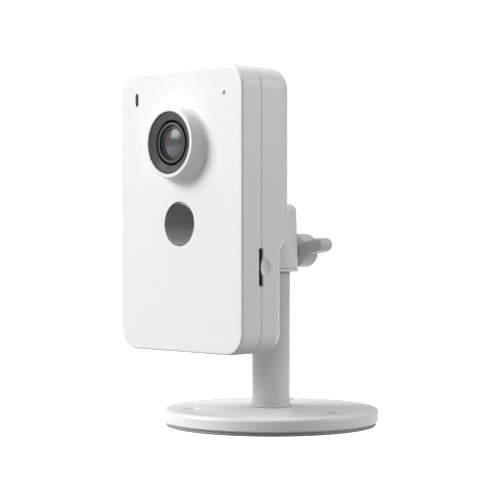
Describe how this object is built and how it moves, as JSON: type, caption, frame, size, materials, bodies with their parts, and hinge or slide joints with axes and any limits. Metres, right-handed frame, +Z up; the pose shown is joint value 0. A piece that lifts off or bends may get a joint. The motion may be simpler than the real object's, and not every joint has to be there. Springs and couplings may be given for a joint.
{
  "type": "security camera",
  "caption": "Small indoor security camera: flat upright white body with a round lens and infrared window, on a ball joint, short pole and round base.",
  "frame": {"origin": "centre of the foot pad's underside, on the pole's axis", "axes": "+Z up the pole, the lens looks along -Y, +X is the side with the card slot"},
  "size_m": [0.0756, 0.086, 0.1221],
  "materials": {
    "white_plastic": "fine satin moulded finish",
    "black_plastic": "matt, fine grain, non-reflecting",
    "smoked_window": "polished infrared-pass plastic",
    "lens_glass": "coated optical glass",
    "steel": "zinc plated",
    "brass": "turned",
    "rubber": "matt",
    "circuit_board": "solder mask",
    "component": "moulded epoxy",
    "copper_film": "thin film",
    "aluminium": "plain"
  },
  "bodies": {
    "stand": {"foot_pad": "rubber", "base_disc": "white_plastic", "base_weight": "steel", "pole": "white_plastic", "pole_screw": "steel", "swivel_disc": "steel", "swivel_screw": "steel"},
    "head": {"head_plate": "white_plastic", "head_screw_left": "steel", "head_screw_right": "steel", "head_shell": "white_plastic", "head_plug": "white_plastic"},
    "knob": {"thumb_knob": "white_plastic", "clamp_screw": "steel", "retaining_clip": "steel"},
    "clamp": {"clamp_shoe": "rubber"},
    "stud": {"ball_stud": "steel", "lock_ring": "white_plastic"},
    "camera": {"front_shell": "white_plastic", "rear_shell": "white_plastic", "mount_insert": "brass", "case_screw_low_left": "steel", "case_screw_low_right": "steel", "case_screw_top_left": "steel", "case_screw_top_right": "steel", "board_screw_1": "steel", "board_screw_2": "steel", "lens_baffle": "black_plastic", "lens_barrel": "black_plastic", "lens_retainer": "black_plastic", "front_glass": "lens_glass", "inner_glass": "lens_glass", "lens_holder": "black_plastic", "image_sensor": "component", "infrared_window": "smoked_window", "infrared_board": "circuit_board", "infrared_lamp": "lens_glass", "lamp_cable": "copper_film", "status_guide": "smoked_window", "status_lamp": "component", "microphone": "aluminium", "microphone_boot": "rubber", "main_board": "circuit_board", "shield_can": "steel", "heat_spreader": "aluminium", "card_socket": "black_plastic", "antenna": "copper_film", "speaker": "component", "speaker_seal": "rubber", "power_socket": "steel", "reset_switch": "component"},
    "reset": {"reset_button": "white_plastic"},
    "filter": {"filter_slider": "black_plastic", "infrared_filter": "lens_glass"}
  },
  "joints": [
    {"name": "head_pan", "type": "hinge", "parent": "stand", "child": "head", "pos_m": [0, 0, 0.0612], "axis": [0, 0, 1], "continuous": true},
    {"name": "ball_tilt", "type": "hinge", "parent": "head", "child": "stud", "pos_m": [0, -0.0052, 0.0612], "axis": [1, 0, 0], "range_deg": [-35, 15]},
    {"name": "camera_roll", "type": "hinge", "parent": "stud", "child": "camera", "pos_m": [0, -0.0052, 0.0612], "axis": [0, 1, 0], "range_deg": [-90, 90]},
    {"name": "knob_turn", "type": "hinge", "parent": "head", "child": "knob", "pos_m": [0, 0, 0.0612], "axis": [0, 1, 0], "range_deg": [0, 270]},
    {"name": "clamp_slide", "type": "slide", "parent": "head", "child": "clamp", "axis": [0, 1, 0], "range_m": [0, 0.0006]},
    {"name": "reset_press", "type": "slide", "parent": "camera", "child": "reset", "axis": [0, -1, 0], "range_m": [0, 0.0004], "stiffness_N_per_m": 400, "springref_m": -0.0002},
    {"name": "filter_shift", "type": "slide", "parent": "camera", "child": "filter", "axis": [1, 0, 0], "range_m": [0, 0.005]}
  ],
  "couplings": [
    {"joint": "clamp_slide", "follows": "knob_turn", "m_per_rad": 0.00011141}
  ]
}
